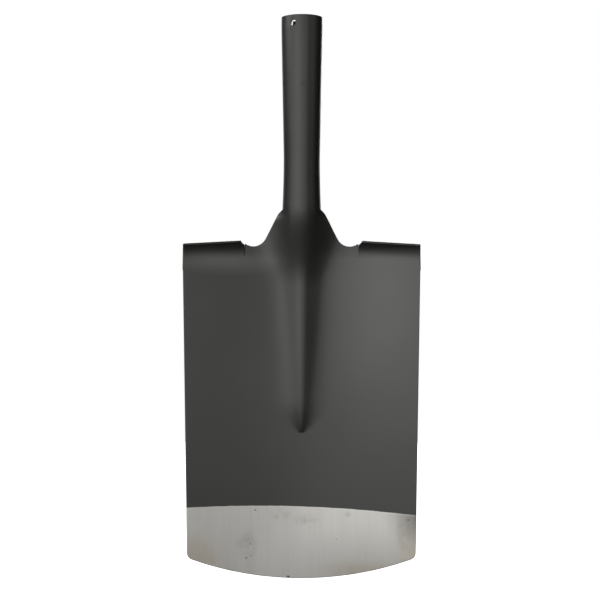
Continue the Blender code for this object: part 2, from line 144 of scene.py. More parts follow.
# Shoulders and treads
NOTCH_U = 0.0470
NOTCH_V = -0.0246
NOTCH_RADIUS = 0.0134
WING_TOP_U = 0.0189
WING_TOP_V = -0.0456
WING_KNEE_U = 0.0228
WING_KNEE_V = -0.0416
TREAD_INNER_U = 0.0548
TREAD_START_V = 0.0046
TREAD_SLOPE = math.radians(5.5)
TREAD_RISE = 0.0172
TREAD_DEPTH = 0.0076
TREAD_TURN = math.radians(86.0)
TREAD_NOTCH_RADIUS = 0.0145
TREAD_JOINT = 0.0012
TREAD_CORNER = 0.0010
TREAD_TAPER = 0.0006

# Back plate. Its sides run straight on from its half round up to the blade's rear face, by
# PLATE_SIDE at most, and by PLATE_TOP_SIDE in its two top corners.
PLATE_TAPER_TOP_V = -0.0300
PLATE_TAPER_LENGTH = 0.1100
TONGUE_TOP_V = -0.0150
TONGUE_TOP_W = -0.0105
TONGUE_END_V = 0.0800
TONGUE_END_W = -0.0032
TONGUE_END_HALF_WIDTH = 0.0130
TONGUE_CORNER = 0.0050
TONGUE_CORNER_V = TONGUE_END_V - TONGUE_CORNER
PLATE_BLEND_TOP_V = -0.0420
PLATE_BLEND_LENGTH = 0.0400
PLATE_SIDE = 0.0060
PLATE_TOP_SIDE = 0.0044
PLATE_FIRST_ROW = 0.0015
PLATE_BEAD_RADIUS = 0.0012
PLATE_BEAD_SINK = 0.8
PLATE_BEAD_TOP_V = -0.0340
PLATE_BEAD_END_V = 0.0600
PLATE_RIPPLE = 0.0024

# Angle and width over which the ways along the plate and along the blade are taken for its bead
PLATE_WAY_ANGLE = 0.02
BLADE_WAY_WIDTH = 0.003

# Weld beads: steps to a ripple, and their radius between ripples and at their ends, as shares
RIPPLE_STEPS = 4
BEAD_WAIST = 0.93
BEAD_END = 0.55

# Blanks: how many rows or columns, or for each band of them where it starts and its pitch
NECK_COLUMNS = 14
WING_BANDS = [
    (NECK_RADIUS * math.sin(NECK_FLANK_TOP), 0.0008),
    (0.0240, 0.0012),
    (0.0420, 0.0012),
]
SHOULDER_BANDS = [(TREAD_INNER_U + 0.0020, 0.0040)]
SIDE_COLUMNS = [0.1020, 0.1050, 0.1075, 0.1095, 0.1110, 0.1122, 0.1131, TOP_HALF_WIDTH]
CORNER_COLUMNS = 6
SHOULDER_ROWS = 34
EVEN_V = 0.0140
EVEN_BANDS = [(EVEN_V, 0.0028), (RIB_END_V - 0.0120, 0.0010), (RIB_END_V + 0.0040, 0.0055)]
EDGE_V = 0.2640
EDGE_SHARES = [0.0, 0.14, 0.28, 0.42, 0.56, 0.70, 0.82, 0.91, 0.96, 0.985, 1.0]
SOCKET_COLUMNS = 120
SOCKET_BANDS = [(0.0010, 0.0015), (0.0160, 0.0040), (0.0600, 0.0009), (0.0720, 0.0050)]
TREAD_COLUMNS = 44
TREAD_ROWS = 30
TREAD_FOOT_ROWS = 7
TREAD_WELD_ROWS = 4
PLATE_COLUMNS = 40
PLATE_BANDS = [(WING_TOP_V + PLATE_FIRST_ROW, 0.0030), (TONGUE_CORNER_V, 0.0007)]
SEAM_BEAD_PITCH = 0.0060
PLATE_BEAD_PITCH = 0.0030

# Colours of the enamel and its painted sheen, and of the bare steel, its marks and painted shade
ENAMEL_TONES = ("#1f1f1c", "#242421")
PAINTED_SHEEN_TONE = "#464643"
STEEL_TONES = ("#aba9a5", "#c8c6c2")
GRINDING_TONE = "#cccac4"
BLOOM_TONE = "#ada08b"
SMUDGE_AND_SHADE_TONE = "#7c7b77"
PAINTED_SHADE_TONE = "#5d5a54"
BORDER_TONE = "#dad8d0"
PIT_AND_SHADE_TONE = "#3a342c"

# Where the enamel ends: v = PAINT_LINE_V + (PAINT_LINE_TILT + PAINT_LINE_BEND u) u, and how far
# the line wanders
PAINT_LINE_V = 0.23855
PAINT_LINE_TILT = 0.033
PAINT_LINE_BEND = 0.369
PAINT_RAG = 0.0008

# Grain of the finishes, in mm: clouds, orange peel, the ragged paint line, rust bloom, and the
# width and length of lines. Grinding lines of 0.2 mm are drawn wider, so that they show.
ENAMEL_CLOUD_MM = 60.0
ORANGE_PEEL_MM = 2.2
PAINT_RAG_MM = 9.0
BLOOM_MM = 11.0
GRINDING_LINE_MM = (1.1, 45.0)
BURNISHED_STREAK_MM = (13.0, 160.0)
BURNISHED_SLANT = 0.12

# Painted sheen on the enamel: ovals of (u, v) and reach in mm, with how soft they end, and its
# upper end
# Painted light: the coat is greyed lighter where light falls on the upper blade and by the
# shoulders
PAINTED_SHEEN = [
    ((82.0, 5.0), (82.0, 220.0), 1.0),
    ((-74.0, 2.0), (72.0, 19.0), 0.9),
]
PAINTED_SHEEN_START_V = -0.0085
PAINTED_SHEEN_FULL_V = 0.0015

# Marks on the bare steel, and painted shade on it: ovals as above
PITS_AND_NICK_SHADE = [
    ((-43.6, 241.8), (1.5, 0.9), 0.7),
    ((100.1, 250.6), (1.7, 0.8), 0.7),
    ((-48.1, 273.4), (1.0, 0.9), 0.8),
    ((-47.1, 284.5), (1.0, 0.8), 0.8),
    ((-51.8, 286.3), (1.9, 0.8), 0.8),
    ((33.0, 268.9), (0.9, 0.7), 0.8),
    # Painted shade: a small nick in the cutting edge, drawn as a dark spot
    ((-12.3, 303.9), (1.9, 1.3), 0.6),
]
SMUDGES_AND_EDGE_SHADE = [
    ((-20.0, 246.0), (14.0, 8.0), 0.9),
    ((4.0, 252.0), (18.0, 9.0), 0.9),
    ((-52.0, 274.0), (15.0, 17.0), 0.9),
    ((96.0, 262.0), (10.0, 20.0), 0.9),
    # Painted shade: a thin dark line along the cutting edge, under its bevel
    ((5.0, 305.0), (22.0, 1.2), 0.9),
    ((44.0, 246.0), (4.0, 4.0), 0.9),
]
# Painted shade: the steel darker low down towards the cutting edge, mostly right of the middle
PAINTED_SHADE_LOW = [((60.0, 306.0), (110.0, 60.0), 1.0)]
# Painted shade: the steel darker towards its right side, where it reflects less light
PAINTED_SHADE_RIGHT = [((118.0, 242.0), (45.0, 50.0), 1.0)]
RUST_BLOOM = [
    ((-100.0, 288.0), (34.0, 32.0), 0.9),
    ((108.0, 284.0), (30.0, 36.0), 0.9),
    ((60.0, 298.0), (60.0, 12.0), 0.9),
]

# Stage: floor, black flags with a window in them, and the point that the softboxes face
FLOOR_MIDDLE_Y = 0.35
FLOOR_SIZE = (2.0, 1.3)
FLOOR_DROP = 0.0002
FLAGS_RADIUS = 2.4
WINDOW_HALF_ANGLE = math.radians(38.0)
LAMP_TARGET = Vector((0.0, 0.0, -0.2700))
LAMP_DISTANCE = 1.25

# Softboxes: name, azimuth and elevation in degrees, width and height, and power in watts
SOFTBOXES = [
    ("high_side_softbox", -85.0, 38.0, (0.60, 0.60), 7.2),
    ("side_softbox", -60.0, 8.0, (0.60, 0.60), 2.1),
    ("left_softbox", -28.0, 15.0, (0.78, 0.90), 6.3),
    ("key_softbox", -3.0, 8.0, (0.31, 0.60), 1.5),
    ("right_softbox", 18.0, 15.0, (0.60, 0.90), 2.8),
    ("far_right_softbox", 62.0, 22.0, (0.60, 0.60), 1.0),
    ("rear_softbox", 170.0, 30.0, (0.80, 0.70), 11.0),
]

# Camera, found from the outline of the object in the photograph
CAMERA_PLACE = (-0.01615, -1.3000, -0.2500)
CAMERA_YAW = math.radians(0.65)
CAMERA_PITCH = math.radians(-0.933)
CAMERA_ROLL = math.radians(0.15)
CAMERA_LENS = 80.5
CAMERA_SENSOR = 36.0


def smoothstep(t):
    t = min(max(t, 0.0), 1.0)
    return t * t * (3.0 - 2.0 * t)


def smooth_max(a, b, width):
    near = max(0.0, 1.0 - abs(a - b) / width)
    return max(a, b) + near * near * width / 4.0


def spread(start, end, pitch):
    """Even places from start to end, at most pitch apart, without the end."""
    count = max(1, math.ceil(abs(end - start) / pitch - 1e-6))
    return [start + (end - start) * i / count for i in range(count)]


def banded(bands, end):
    """Places through bands of (start, pitch), each up to the next one's start, without the end."""
    places = []
    for index, (start, pitch) in enumerate(bands):
        last = index == len(bands) - 1
        places += spread(start, end if last else bands[index + 1][0], pitch)
    return places


# Shape of the socket and the blade, the same as the solids have


def socket_radius(depth):
    if depth <= MOUTH_COLLAR:
        return MOUTH_RADIUS
    if depth <= WAIST_DEPTH:
        share = (depth - MOUTH_COLLAR) / (WAIST_DEPTH - MOUTH_COLLAR)
        return MOUTH_RADIUS + (WAIST_RADIUS - MOUTH_RADIUS) * share
    share = (depth - WAIST_DEPTH) / (NECK_DEPTH - WAIST_DEPTH)
    return WAIST_RADIUS + (NECK_RADIUS - WAIST_RADIUS) * share * share


def blade_point(u, v, w):
    y = SET_BACK - v * math.sin(LIFT) - w * math.cos(LIFT)
    z = TREAD_LINE_Z - v * math.cos(LIFT) + w * math.sin(LIFT)
    return Vector((u, y, z))


def dish(u):
    reach = math.hypot(DISH_HALF_WIDTH, DISH_ROUNDING) - DISH_ROUNDING
    return DISH_DEPTH * (math.hypot(u, DISH_ROUNDING) - DISH_ROUNDING) / reach


def trough(u, v):
    """Depth that the pressing sinks the blade's middle on both sides of the rib."""
    across = max(0.0, 1.0 - (u / TROUGH_HALF_WIDTH) ** 2)
    along = max(0.0, 1.0 - (max(v, 0.0) / TROUGH_END_V) ** 2)
    return TROUGH_DEPTH * (across * along) ** 2


def tube_axis_w(v):
    return SET_BACK / math.cos(LIFT) - v * math.tan(LIFT)


def rib(u, v):
    """The rib's height above the dish: round on its crest, hollow towards its foot."""
    down = min(max(v / RIB_END_V, 0.0), 1.0)
    into_nose = min(max((v - (RIB_END_V - RIB_NOSE)) / RIB_NOSE, 0.0), 1.0)
    fullness = math.sqrt(1.0 - into_nose * into_nose)
    foot = RIB_FOOT + (RIB_END_FOOT - RIB_FOOT) * down
    foot *= RIB_NOSE_FOOT + (1.0 - RIB_NOSE_FOOT) * fullness ** 2
    t = abs(u) / foot
    if t >= 1.0:
        return 0.0
    height = (RIB_HEIGHT + (RIB_END_HEIGHT - RIB_HEIGHT) * min(v / RIB_END_V, 1.0)) * fullness
    rounding = RIB_ROUNDING + (RIB_END_ROUNDING - RIB_ROUNDING) * down
    whole = math.hypot(1.0, rounding) - rounding
    share = (math.hypot(t, rounding) - rounding) / whole
    return height * (1.0 - share) ** (RIB_POWER + (RIB_END_POWER - RIB_POWER) * down)


def neck_height(u, v):
    lying = smoothstep((v - WING_TOP_V) / NECK_FLANK_LENGTH)
    flank = NECK_FLANK_TOP + (NECK_FLANK_END - NECK_FLANK_TOP) * lying
    reach = NECK_RADIUS * math.sin(flank)
    if abs(u) < reach:
        rise = math.sqrt(NECK_RADIUS ** 2 - u * u)
    else:
        rise = NECK_RADIUS * math.cos(flank) - (abs(u) - reach) * math.tan(flank)
    return tube_axis_w(v) + rise / math.cos(LIFT)


def blade_height(u, v):
    height = dish(u) - trough(u, v) + rib(u, v)
    share = 1.0 - smoothstep((v - NECK_BLEND_TOP_V) / (NECK_BLEND_END_V - NECK_BLEND_TOP_V))
    if share > 0.0:
        height += share * (smooth_max(neck_height(u, v), height, NECK_FILLET) - height)
    return height


def tread_line(u):
    """v of the joint between blade and tread."""
    return TREAD_START_V + (abs(u) - TREAD_INNER_U) * math.tan(TREAD_SLOPE)


def shoulder_height(u):
    """w of the blade's front face along that joint."""
    return blade_height(u, tread_line(u))


# Blanks and forming


def blank(name, across, down, place, thickness, joined=None):
    """A flat sheet of cells whose corners lie at place(column, row), its edges eased.

    Where joined(column, row) is true the edge meets a weld and stays square.
    """
    bpy.ops.object.select_all(action="DESELECT")
    bpy.ops.mesh.primitive_grid_add(x_subdivisions=across, y_subdivisions=down, size=2.0)
    piece = bpy.context.object
    piece.name = name
    piece.data.name = name
    held = set()
    for vertex in piece.data.vertices:
        column = round((vertex.co.x + 1.0) / 2.0 * across)
        row = round((1.0 - vertex.co.y) / 2.0 * down)
        vertex.co = (*place(column, row), 0.0)
        if joined and joined(column, row):
            held.add(tuple(vertex.co.xy))
    bpy.ops.object.mode_set(mode="EDIT")
    bpy.ops.mesh.select_all(action="SELECT")
    bpy.ops.mesh.extrude_region_move(TRANSFORM_OT_translate={"value": (0.0, 0.0, -thickness)})
    bpy.ops.mesh.select_all(action="SELECT")
    bpy.ops.mesh.normals_make_consistent(inside=False)
    bpy.ops.mesh.select_all(action="DESELECT")
    bpy.ops.mesh.select_mode(type="EDGE")
    bpy.ops.mesh.edges_select_sharp(sharpness=EASED_ANGLE)
    bpy.ops.object.mode_set(mode="OBJECT")
    for edge in piece.data.edges:
        ends = [tuple(piece.data.vertices[index].co.xy) for index in edge.vertices]
        if all(end in held for end in ends):
            edge.select = False
    bpy.ops.object.mode_set(mode="EDIT")
    bpy.ops.mesh.bevel(offset=EASED_EDGE, segments=2, affect="EDGES")
    bpy.ops.object.mode_set(mode="OBJECT")
    return piece


def form(piece, surface):
    """Lays a blank on a surface(x, y) of its front face; its thickness stays square to that."""
    for vertex in piece.data.vertices:
        x, y, z = vertex.co
        across = surface(x + FORM_STEP, y) - surface(x - FORM_STEP, y)
        upward = surface(x, y + FORM_STEP) - surface(x, y - FORM_STEP)
        vertex.co = surface(x, y) + across.cross(upward).normalized() * z
    finish_mesh(piece)


def finish_mesh(piece):
    """Doubles merged, faces outwards, round where the surface is round."""
    bpy.ops.object.select_all(action="DESELECT")
    piece.select_set(True)
    bpy.context.view_layer.objects.active = piece
    bpy.ops.object.mode_set(mode="EDIT")
    bpy.ops.mesh.select_all(action="SELECT")
    bpy.ops.mesh.remove_doubles(threshold=MERGE_DISTANCE)
    bpy.ops.mesh.normals_make_consistent(inside=False)
    bpy.ops.object.mode_set(mode="OBJECT")
    bpy.ops.object.shade_smooth_by_angle(angle=SHARP_ANGLE)


def stands_for(piece, node, material):
    piece.data.materials.clear()
    piece.data.materials.append(material)
    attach(piece, "root")
    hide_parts(node)


# Blade


def blade_columns():
    """Places across the blade at the tread line; negative to the left."""
    angles = [NECK_FLANK_TOP * i / NECK_COLUMNS for i in range(NECK_COLUMNS)]
    half = [NECK_RADIUS * math.sin(angle) for angle in angles]
    half += banded(WING_BANDS, TREAD_INNER_U)
    half += [TREAD_INNER_U, TREAD_INNER_U + HAIRLINE]
    half += banded(SHOULDER_BANDS, SIDE_COLUMNS[0])
    half += SIDE_COLUMNS
    return [-u for u in reversed(half[1:])] + half


def neck_top_v(u):
    """v at which the blade's front face reaches the joint below the socket."""
    v = WING_TOP_V
    for _ in range(JOINT_ROUNDS):
        v += blade_point(u, v, blade_height(u, v)).z - BLADE_TOP_Z
    return v


def top_v(u):
    """Upper edge of the blade: neck, wing, notch and shoulder."""
    u = abs(u)
    if u <= WING_TOP_U:
        return neck_top_v(u)
    centre = Vector((NOTCH_U, NOTCH_V))
    knee = Vector((WING_KNEE_U, WING_KNEE_V))
    away = knee - centre
    angle = math.atan2(away.y, away.x) - math.acos(NOTCH_RADIUS / away.length)
    touch = centre + NOTCH_RADIUS * Vector((math.cos(angle), math.sin(angle)))
    if u < touch.x:
        start, end = Vector((WING_TOP_U, neck_top_v(WING_TOP_U))), knee
        if u > knee.x:
            start, end = knee, touch
        return start.y + (end.y - start.y) * (u - start.x) / (end.x - start.x)
    if u < TREAD_INNER_U + HAIRLINE / 2:
        return NOTCH_V + math.sqrt(NOTCH_RADIUS ** 2 - (u - NOTCH_U) ** 2)
    return tread_line(u) + TREAD_JOINT


def lower_places(columns):
    """(u, v) of every column's end on the cutting edge, the corners rounded."""
    centre_v = TIP_V - EDGE_RADIUS
    corner_v = centre_v + math.sqrt(EDGE_RADIUS ** 2 - CORNER_HALF_WIDTH ** 2)
    side = Vector((TOP_HALF_WIDTH - CORNER_HALF_WIDTH, -corner_v)).normalized()
    round_u = CORNER_HALF_WIDTH - CORNER_RADIUS
    round_v = centre_v + math.sqrt((EDGE_RADIUS - CORNER_RADIUS) ** 2 - round_u ** 2)
    first = math.atan2(-side.x, -side.y)
    last = math.atan2(round_v - centre_v, round_u)
    inner_end = round_u + CORNER_RADIUS * math.cos(last)
    squeeze = inner_end / columns[-1 - CORNER_COLUMNS]
    places = []
    for index, u in enumerate(columns):
        from_end = min(index, len(columns) - 1 - index)
        if from_end >= CORNER_COLUMNS:
            edge_u = u * squeeze
            places.append((edge_u, centre_v + math.sqrt(EDGE_RADIUS ** 2 - edge_u ** 2)))
            continue
        angle = first + (last - first) * from_end / CORNER_COLUMNS
        edge_u = round_u + CORNER_RADIUS * math.cos(angle)
        places.append((math.copysign(edge_u, u), round_v + CORNER_RADIUS * math.sin(angle)))
    return places


def side_half_width(v):
    corner_v = TIP_V - EDGE_RADIUS + math.sqrt(EDGE_RADIUS ** 2 - CORNER_HALF_WIDTH ** 2)
    return TOP_HALF_WIDTH + (CORNER_HALF_WIDTH - TOP_HALF_WIDTH) * max(0.0, v) / corner_v


def make_blade(material):
    """One sheet: its rows follow the shoulders, run even, and then close up to the cutting edge."""
    columns = blade_columns()
    rows = banded(EVEN_BANDS, EDGE_V)
    edge = lower_places(columns)

    def place(column, row):
        u = columns[column]
        if row < SHOULDER_ROWS:
            top = top_v(u)
            return u, -(top + (EVEN_V - top) * row / SHOULDER_ROWS)
        if row < SHOULDER_ROWS + len(rows):
            v = rows[row - SHOULDER_ROWS]
            return u * side_half_width(v) / TOP_HALF_WIDTH, -v
        share = EDGE_SHARES[row - SHOULDER_ROWS - len(rows)]
        start_u = u * side_half_width(EDGE_V) / TOP_HALF_WIDTH
        end_u, end_v = edge[column]
        return start_u + (end_u - start_u) * share, -(EDGE_V + (end_v - EDGE_V) * share)

    def welded(column, row):
        u = abs(columns[column])
        return row == 0 and (u <= WING_TOP_U or u > TREAD_INNER_U)

    down = SHOULDER_ROWS + len(rows) + len(EDGE_SHARES) - 1
    sheet = blank("blade_sheet", len(columns) - 1, down, place, SHEET, welded)
    form(sheet, lambda x, y: blade_point(x, -y, blade_height(x, -y)))
    stands_for(sheet, "blade", material)


# Socket


def make_socket(material):
    """A rolled tube, open along its seam, with a nail hole through its front."""
    seam_gap = SEAM_WIDTH / MOUTH_RADIUS
    depths = [0.0, *banded(SOCKET_BANDS, SOCKET_END), SOCKET_END]
    down = len(depths) - 1

    def place(column, row):
        share = column / SOCKET_COLUMNS - 0.5
        return share * (2.0 * math.pi - seam_gap) * MOUTH_RADIUS, -depths[row]

    def welded(column, row):
        return row == down

    def rolled(x, y):
        angle = SEAM_ANGLE + x / MOUTH_RADIUS
        radius = socket_radius(-y) + paint_nib(x + SEAM_ANGLE * MOUTH_RADIUS, y)
        return Vector((radius * math.sin(angle), -radius * math.cos(angle), y))

    tube = blank("socket_tube", SOCKET_COLUMNS, down, place, SHEET, welded)
    form(tube, rolled)
    punch = Vector((-math.sin(NAIL_HOLE_ANGLE), -math.cos(NAIL_HOLE_ANGLE), 0.0))
    bpy.ops.object.select_all(action="DESELECT")
    bpy.ops.mesh.primitive_cylinder_add(
        vertices=40,
        radius=NAIL_HOLE_RADIUS,
        depth=DRILL_LENGTH,
        location=punch * DRILL_REACH + Vector((0.0, 0.0, -NAIL_HOLE_DEPTH)),
        rotation=punch.to_track_quat("Z", "Y").to_euler(),
    )
    drill = bpy.context.object
    hole = tube.modifiers.new("nail_hole", "BOOLEAN")
    hole.operation = "DIFFERENCE"
    hole.solver = "EXACT"
    hole.object = drill
    bpy.context.view_layer.objects.active = tube
    bpy.ops.object.modifier_apply(modifier="nail_hole")
    bpy.data.objects.remove(drill, do_unlink=True)
    finish_mesh(tube)
    stands_for(tube, "socket", material)


def paint_nib(x, y):
    """Height of a drip left in the enamel on the socket's front."""
    aside = (x - NIB_PLACE[0]) / NIB_REACH[0]
    below = (y - NIB_PLACE[1]) / NIB_REACH[1]
    return NIB_HEIGHT * math.exp(-(aside ** 2 + below ** 2))


# Treads


def tread_section(s, behind=0.0):
    """(up, forward) at a distance s from the tread's foot, so far behind its front face."""
    angle = s / TREAD_RISE
    rise, lean = TREAD_RISE * math.cos(angle), TREAD_DEPTH * math.sin(angle)
    share = behind / math.hypot(rise, lean)
    up = TREAD_RISE * math.sin(angle) + lean * share
    forward = TREAD_DEPTH * (1.0 - math.cos(angle)) - rise * share
    return up, forward


def tread_inner_u(s):
    """Where the notch cuts the tread's inner end at a distance from its foot."""
    u = TREAD_INNER_U + HAIRLINE
    for _ in range(NOTCH_ROUNDS):
        above = tread_line(u) - TREAD_JOINT - tread_section(s, SHEET)[0] - NOTCH_V
        reach = math.sqrt(max(0.0, TREAD_NOTCH_RADIUS ** 2 - above ** 2))
        u = max(TREAD_INNER_U + HAIRLINE, NOTCH_U + reach)
    return u


def make_tread(side, word, material):
    """A strip that stands on the shoulder's weld and is bent forward, its outer corner rounded."""
    whole = TREAD_RISE * TREAD_TURN

    def place(column, row):
        s = whole * (1.0 - row / TREAD_ROWS)
        inner = tread_inner_u(s)
        outer = TOP_HALF_WIDTH - TREAD_TAPER * s / whole
        u = inner + (outer - inner) * column / TREAD_COLUMNS
        past = u - (outer - TREAD_CORNER)
        if past > 0.0:
            drop = TREAD_CORNER - math.sqrt(max(0.0, TREAD_CORNER ** 2 - past * past))
            s -= drop * (s / whole) ** 3
        return u, s

    def welded(column, row):
        return row == TREAD_ROWS or (column == 0 and row > TREAD_ROWS - TREAD_FOOT_ROWS)

    def turned(x, y):
        up, forward = tread_section(y)
        return blade_point(x, tread_line(x) - TREAD_JOINT - up, shoulder_height(x) + forward)

    strip = blank(word + "_tread_strip", TREAD_COLUMNS, TREAD_ROWS, place, SHEET, welded)
    form(strip, turned)
    to_side(strip, side)
    stands_for(strip, word + "_tread", material)


def to_side(piece, side):
    """Mirrors a right-hand piece for the left."""
    if side < 0:
        for vertex in piece.data.vertices:
            vertex.co.x = -vertex.co.x
        finish_mesh(piece)


def make_tread_weld(side, word, material):
    """The dressed weld that fills the joint between shoulder and tread."""
    start, end = TREAD_INNER_U + HAIRLINE, TOP_HALF_WIDTH

    def place(column, row):
        u = start + (end - start) * column / TREAD_COLUMNS
        return u, -(tread_line(u) + TREAD_JOINT * (2.0 * row / TREAD_WELD_ROWS - 1.0))

    def welded(column, row):
        return row in (0, TREAD_WELD_ROWS) or column == 0

    name = word + "_tread_weld_band"
    band = blank(name, TREAD_COLUMNS, TREAD_WELD_ROWS, place, SHEET, welded)
    form(band, lambda x, y: blade_point(x, -y, shoulder_height(x)))
    to_side(band, side)
    stands_for(band, word + "_tread_weld", material)


# Back plate


def plate_half_width(v):
    narrowed = smoothstep((v - PLATE_TAPER_TOP_V) / PLATE_TAPER_LENGTH)
    return NECK_RADIUS + (TONGUE_END_HALF_WIDTH - NECK_RADIUS) * narrowed


def blade_back(u, v):
    """w of the blade's rear face."""
    step = 0.0002
    slope = (blade_height(u + step, v) - blade_height(u - step, v)) / (2.0 * step)
    return blade_height(u, v) - SHEET * math.hypot(1.0, slope)


def plate_point(angle, v):
    """(u, w) on the plate's outer face; the angle is measured from straight back."""
    axis = tube_axis_w(v)
    round_depth = NECK_RADIUS / math.cos(LIFT)
    share = smoothstep((v - PLATE_BLEND_TOP_V) / PLATE_BLEND_LENGTH)
    slope = (TONGUE_END_W - TONGUE_TOP_W) / (TONGUE_END_V - TONGUE_TOP_V)
    tongue = TONGUE_TOP_W + slope * (v - TONGUE_TOP_V)
    half = plate_half_width(v)
    rim = blade_back(half, v)
    centre = axis + (rim - axis) * share
    depth = round_depth + (rim - tongue - round_depth) * share
    turned = max(-math.pi / 2, min(angle, math.pi / 2))
    straight = abs(angle - turned) * NECK_RADIUS
    return half * math.sin(turned), centre - depth * math.cos(turned) + straight


def plate_edge_angle(v):
    """The angle at which the plate's outer face reaches the blade's rear face."""
    least, step = 0.2, 0.004
    angle = math.pi / 2 + PLATE_SIDE / NECK_RADIUS
    u, w = plate_point(angle, v)
    while w > blade_back(u, v) - GAP and angle > least:
        angle -= step
        u, w = plate_point(angle, v)
    return angle


def plate_top_v(angle):
    """v at which the plate's outer face reaches the joint below the socket."""
    v = WING_TOP_V
    for _ in range(JOINT_ROUNDS):
        u, w = plate_point(angle, v)
        v += blade_point(u, v, w).z - BLADE_TOP_Z
    return v


def make_back_plate(material):
    """Half round where it meets the socket's joint, flatter and narrower down to its tongue."""
    rows = [WING_TOP_V, *banded(PLATE_BANDS, TONGUE_END_V), TONGUE_END_V]
    edge_angles = {}
    for v in rows:
        edge_angles[v] = plate_edge_angle(v)
        if v > TONGUE_CORNER_V:
            past = (v - TONGUE_CORNER_V) / TONGUE_CORNER
            half = plate_half_width(v)
            pull = TONGUE_CORNER * (1.0 - math.sqrt(max(0.0, 1.0 - past * past)))
            edge_angles[v] = math.asin(min(math.sin(edge_angles[v]), (half - pull) / half))
    edge_angles[WING_TOP_V] = math.pi / 2 + PLATE_TOP_SIDE / NECK_RADIUS

    def place(column, row):
        v = rows[row]
        angle = edge_angles[v] * (2.0 * column / PLATE_COLUMNS - 1.0)
        if row == 0:
            v = plate_top_v(angle)
        return angle * NECK_RADIUS, -v

    def welded(column, row):
        return row == 0

    def pressed(x, y):
        u, w = plate_point(x / NECK_RADIUS, -y)
        point = blade_point(-u, -y, w)
        point.z = min(point.z, BLADE_TOP_Z)
        return point

    plate = blank("back_plate_sheet", PLATE_COLUMNS, len(rows) - 1, place, PLATE_SHEET, welded)
    form(plate, pressed)
    stands_for(plate, "back_plate", material)


# Welds


def bead(name, points, radius, ripple, node, material):
    """A round bead along a path, rippled as the weld pool froze."""
    curve = bpy.data.curves.new(name, "CURVE")
    curve.dimensions = "3D"
    curve.bevel_depth = radius
    curve.bevel_resolution = 4
    curve.use_fill_caps = True
    spline = curve.splines.new("POLY")
    path = []
    pitch = ripple / RIPPLE_STEPS
    for first, second in zip(points, points[1:]):
        count = max(1, round((Vector(second) - Vector(first)).length / pitch))
        path += [Vector(first).lerp(Vector(second), i / count) for i in range(count)]
    path.append(Vector(points[-1]))
    spline.points.add(len(path) - 1)
    for index, (point, place) in enumerate(zip(spline.points, path)):
        point.co = (*place, 1.0)
        swell = abs(math.sin(index * math.pi / RIPPLE_STEPS))
        point.radius = BEAD_WAIST + (1.0 - BEAD_WAIST) * swell
        if index in (0, len(path) - 1):
            point.radius = BEAD_END
    rod = bpy.data.objects.new(name, curve)
    bpy.context.scene.collection.objects.link(rod)
    bpy.ops.object.select_all(action="DESELECT")
    rod.select_set(True)
    bpy.context.view_layer.objects.active = rod
    bpy.ops.object.convert(target="MESH")
    rod = bpy.context.object
    finish_mesh(rod)
    stands_for(rod, node, material)


def make_seam_weld(material):
    """The bead along the socket's seam, a little proud of the tube."""
    last = SOCKET_END - GAP
    points = []
    for depth in [*spread(SEAM_BEAD_START, last, SEAM_BEAD_PITCH), last]:
        reach = socket_radius(depth) - SHEET / 2 + SEAM_BEAD_PROUD
        points.append((-reach * math.sin(SEAM_ANGLE), reach * math.cos(SEAM_ANGLE), -depth))
    bead("seam_weld_bead", points, SEAM_BEAD_RADIUS, SEAM_RIPPLE, "socket_seam_weld", material)


def plate_corner(v):
    """Where the plate's outer face reaches the blade's rear face, and the way along the plate."""
    angle = plate_edge_angle(v)
    u, w = plate_point(angle, v)
    behind = Vector(plate_point(angle - PLATE_WAY_ANGLE, v)) - Vector((u, w))
    return Vector((u, blade_back(u, v))), behind.normalized()


def make_plate_weld(side, word, material):
    """A fillet bead in the corner between the plate and the blade's rear face."""
    reach = PLATE_BEAD_RADIUS * PLATE_BEAD_SINK
    points = []
    for v in [*spread(PLATE_BEAD_TOP_V, PLATE_BEAD_END_V, PLATE_BEAD_PITCH), PLATE_BEAD_END_V]:
        corner, along_plate = plate_corner(v)
        beyond = corner.x + BLADE_WAY_WIDTH
        along_blade = Vector((beyond, blade_back(beyond, v))) - corner
        between = (along_plate + along_blade.normalized()).normalized()
        half_angle = along_plate.angle(between)
        centre = corner + between * (reach / math.sin(half_angle))
        points.append(tuple(blade_point(side * centre.x, v, centre.y)))
    name = "back_plate_weld_bead_" + word
    bead(name, points, PLATE_BEAD_RADIUS, PLATE_RIPPLE, "back_plate_weld_" + word, material)


def make_neck_weld(material):
    """A turned band that fills the joint between socket and blade, dressed flush."""
    height = NECK_BEAD_HEIGHT + 2 * GAP
    half_sheet = SHEET / 2
    middle = NECK_RADIUS - half_sheet
    bpy.ops.object.select_all(action="DESELECT")
    bpy.ops.mesh.primitive_torus_add(
        location=(0.0, 0.0, -NECK_DEPTH),
        major_segments=120,
        minor_segments=16,
        major_radius=middle,
        minor_radius=half_sheet,
    )
    band = bpy.context.object
    band.name = "neck_weld_band"
    band.data.name = "neck_weld_band"
    bpy.ops.object.transform_apply(location=True, rotation=True, scale=True)
    for vertex in band.data.vertices:
        rise = (vertex.co.z + NECK_DEPTH) / half_sheet
        radius = math.hypot(vertex.co.x, vertex.co.y)
        out = (radius - middle) / half_sheet
        squared = max(abs(rise), abs(out), 1e-6)
        vertex.co.z = -NECK_DEPTH + rise / squared * height / 2
        wanted = middle + out / squared * half_sheet
        vertex.co.x *= wanted / radius
        vertex.co.y *= wanted / radius
    finish_mesh(band)
    stands_for(band, "neck_weld", material)


# Finishes


def linear(code, alpha=1.0):
    """sRGB hex to a linear colour."""
    channels = [int(code[i:i + 2], 16) / 255.0 for i in (1, 3, 5)]
    bent = [c / 12.92 if c <= 0.04045 else ((c + 0.055) / 1.055) ** 2.4 for c in channels]
    return (*bent, alpha)


